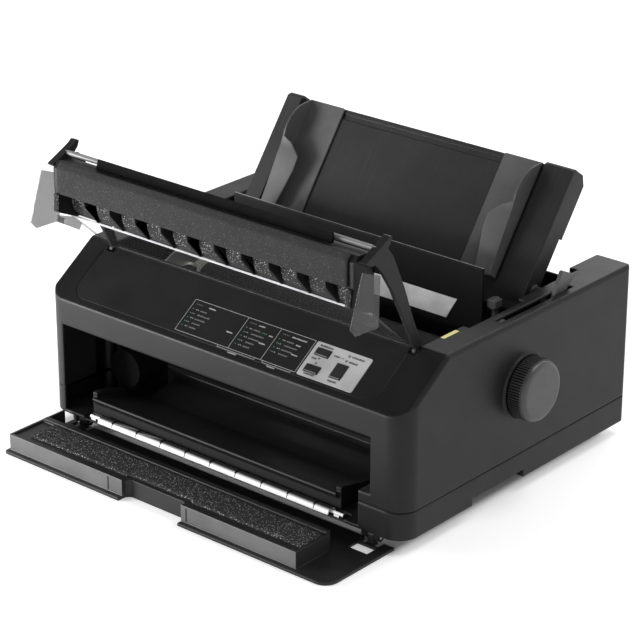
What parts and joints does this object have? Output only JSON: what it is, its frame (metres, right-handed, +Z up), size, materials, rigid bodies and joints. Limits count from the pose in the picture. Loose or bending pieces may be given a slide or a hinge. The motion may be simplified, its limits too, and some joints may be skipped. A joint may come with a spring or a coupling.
{
  "type": "dot matrix printer",
  "caption": "Desktop impact printer with platen, knob, print carriage, leaning sheet guide and hinged top and front covers standing open.",
  "frame": {"origin": "middle of the case's footprint on the floor, under the rubber feet", "axes": "+X to the printer's right, +Y to its rear, +Z up; the covers stand open at rest"},
  "size_m": [0.4494, 0.4124, 0.286],
  "materials": {
    "case_shell": "fine textured charcoal moulding",
    "panel_black": "smooth dark panel",
    "key_plate": "satin silver grey",
    "lamp_lens": "pale lamp lens",
    "key_black": "smooth black cap",
    "rubber": "matt rubber",
    "steel": "bright steel",
    "bright_steel": "polished steel",
    "inner_plastic": "dark inner moulding",
    "board_green": "lacquered circuit board",
    "gear_white": "natural acetal",
    "motor_body": "dark motor can",
    "belt": "black belt",
    "pulley": "turned brass",
    "ribbon": "inked ribbon",
    "foam": "speckled sound-absorbing foam",
    "clear_window": "smoke-clear plastic",
    "guide_grey": "mid grey moulding",
    "knob_grey": "satin grey moulding",
    "head_alloy": "finned alloy",
    "cover_plastic": "dark cover moulding"
  },
  "bodies": {
    "case": {"lower_case": "case_shell", "upper_case": "case_shell", "control_panel": "panel_black", "key_plate": "key_plate", "panel_lamps": "lamp_lens", "rubber_feet": "rubber", "case_screws": "steel", "side_frame_left": "steel", "side_frame_right": "steel", "carriage_shaft": "bright_steel", "carriage_rail": "steel", "front_paper_guide": "inner_plastic", "front_guide_strip": "bright_steel", "front_guide_shaft": "inner_plastic", "rear_paper_guide": "inner_plastic", "tear_plate": "inner_plastic", "tear_strip": "bright_steel", "main_board": "board_green", "interface_connector": "steel", "power_supply": "motor_body", "power_inlet": "inner_plastic", "carriage_motor": "motor_body", "feed_motor": "motor_body", "drive_belt": "belt", "ribbon_cartridge": "inner_plastic", "ribbon_band": "ribbon", "platen_bushes": "gear_white", "gear_stud": "steel", "front_hinge_pins": "steel", "cover_hinge_pins": "steel", "guide_hinge_pins": "steel", "lever_pins": "steel"},
    "platen": {"platen_shaft": "bright_steel", "platen_roller": "rubber", "platen_gear": "gear_white", "platen_knob": "knob_grey"},
    "reduction": {"reduction_gear": "gear_white"},
    "pinion": {"motor_pinion": "pulley"},
    "carriage": {"carriage": "inner_plastic", "print_head": "head_alloy"},
    "drive_pulley": {"drive_pulley": "pulley"},
    "idle_pulley": {"idle_pulley": "pulley"},
    "front_cover": {"front_cover": "case_shell", "front_foam": "foam"},
    "printer_cover": {"cover_frame": "cover_plastic", "cover_window": "clear_window", "cover_foam": "foam", "bail_rod": "bright_steel", "bail_plate": "inner_plastic"},
    "sheet_guide": {"sheet_guide": "case_shell"},
    "edge_guide_left": {"edge_guide_left": "guide_grey"},
    "edge_guide_right": {"edge_guide_right": "guide_grey"},
    "release_lever": {"release_lever": "knob_grey"},
    "thickness_lever": {"thickness_lever": "knob_grey"},
    "pause_key": {"pause_key": "key_black"},
    "feed_key": {"feed_key": "key_black"},
    "tear_key": {"tear_key": "key_black"},
    "power_switch": {"power_switch": "key_black"}
  },
  "joints": [
    {"name": "platen_turn", "type": "hinge", "parent": "case", "child": "platen", "pos_m": [0, 0.0035, 0.105], "axis": [1, 0, 0], "continuous": true},
    {"name": "reduction_turn", "type": "hinge", "parent": "case", "child": "reduction", "pos_m": [0, 0.0205, 0.07556], "axis": [1, 0, 0], "continuous": true},
    {"name": "pinion_turn", "type": "hinge", "parent": "case", "child": "pinion", "pos_m": [0, 0.03659, 0.06206], "axis": [1, 0, 0], "continuous": true},
    {"name": "carriage_slide", "type": "slide", "parent": "case", "child": "carriage", "axis": [1, 0, 0], "range_m": [-0.062, 0.2]},
    {"name": "drive_pulley_turn", "type": "hinge", "parent": "case", "child": "drive_pulley", "pos_m": [-0.168, -0.0675, 0.048], "axis": [0, 1, 0], "range_deg": [-445, 1420]},
    {"name": "idle_pulley_turn", "type": "hinge", "parent": "case", "child": "idle_pulley", "pos_m": [0.168, -0.0675, 0.048], "axis": [0, 1, 0], "range_deg": [-445, 1420]},
    {"name": "front_cover_hinge", "type": "hinge", "parent": "case", "child": "front_cover", "pos_m": [0, -0.1595, 0.01], "axis": [1, 0, 0], "range_deg": [-90, 0]},
    {"name": "printer_cover_hinge", "type": "hinge", "parent": "case", "child": "printer_cover", "pos_m": [0, -0.1079, 0.1666], "axis": [1, 0, 0], "range_deg": [-133, 0]},
    {"name": "sheet_guide_tilt", "type": "hinge", "parent": "case", "child": "sheet_guide", "pos_m": [0, 0.07195, 0.1611], "axis": [1, 0, 0], "range_deg": [-52, 0]},
    {"name": "left_edge_slide", "type": "slide", "parent": "sheet_guide", "child": "edge_guide_left", "axis": [1, 0, 0], "range_m": [-0.008, 0.08]},
    {"name": "right_edge_slide", "type": "slide", "parent": "sheet_guide", "child": "edge_guide_right", "axis": [1, 0, 0], "range_m": [-0.08, 0.0035]},
    {"name": "release_lever_tilt", "type": "hinge", "parent": "case", "child": "release_lever", "pos_m": [0, 0.0665, 0.106], "axis": [1, 0, 0], "range_deg": [0, 40]},
    {"name": "thickness_lever_tilt", "type": "hinge", "parent": "case", "child": "thickness_lever", "pos_m": [0, 0.0345, 0.138], "axis": [1, 0, 0], "range_deg": [-8, 22]},
    {"name": "pause_key_press", "type": "slide", "parent": "case", "child": "pause_key", "axis": [0, 0.5674, -0.8234], "range_m": [0, 0.0012], "stiffness_N_per_m": 350, "springref_m": -0.0005},
    {"name": "feed_key_press", "type": "slide", "parent": "case", "child": "feed_key", "axis": [0, 0.5674, -0.8234], "range_m": [0, 0.0012], "stiffness_N_per_m": 350, "springref_m": -0.0005},
    {"name": "tear_key_press", "type": "slide", "parent": "case", "child": "tear_key", "axis": [0, 0.5674, -0.8234], "range_m": [0, 0.0012], "stiffness_N_per_m": 350, "springref_m": -0.0005},
    {"name": "power_switch_rock", "type": "hinge", "parent": "case", "child": "power_switch", "pos_m": [-0.112, 0.1595, 0.06], "axis": [1, 0, 0], "range_deg": [-12, 0]}
  ],
  "couplings": [
    {"joint": "reduction_turn", "follows": "platen_turn", "ratio": -1.2667},
    {"joint": "pinion_turn", "follows": "platen_turn", "ratio": 3.1667},
    {"joint": "drive_pulley_turn", "follows": "carriage_slide", "rad_per_m": 123.46},
    {"joint": "idle_pulley_turn", "follows": "carriage_slide", "rad_per_m": 123.46}
  ]
}
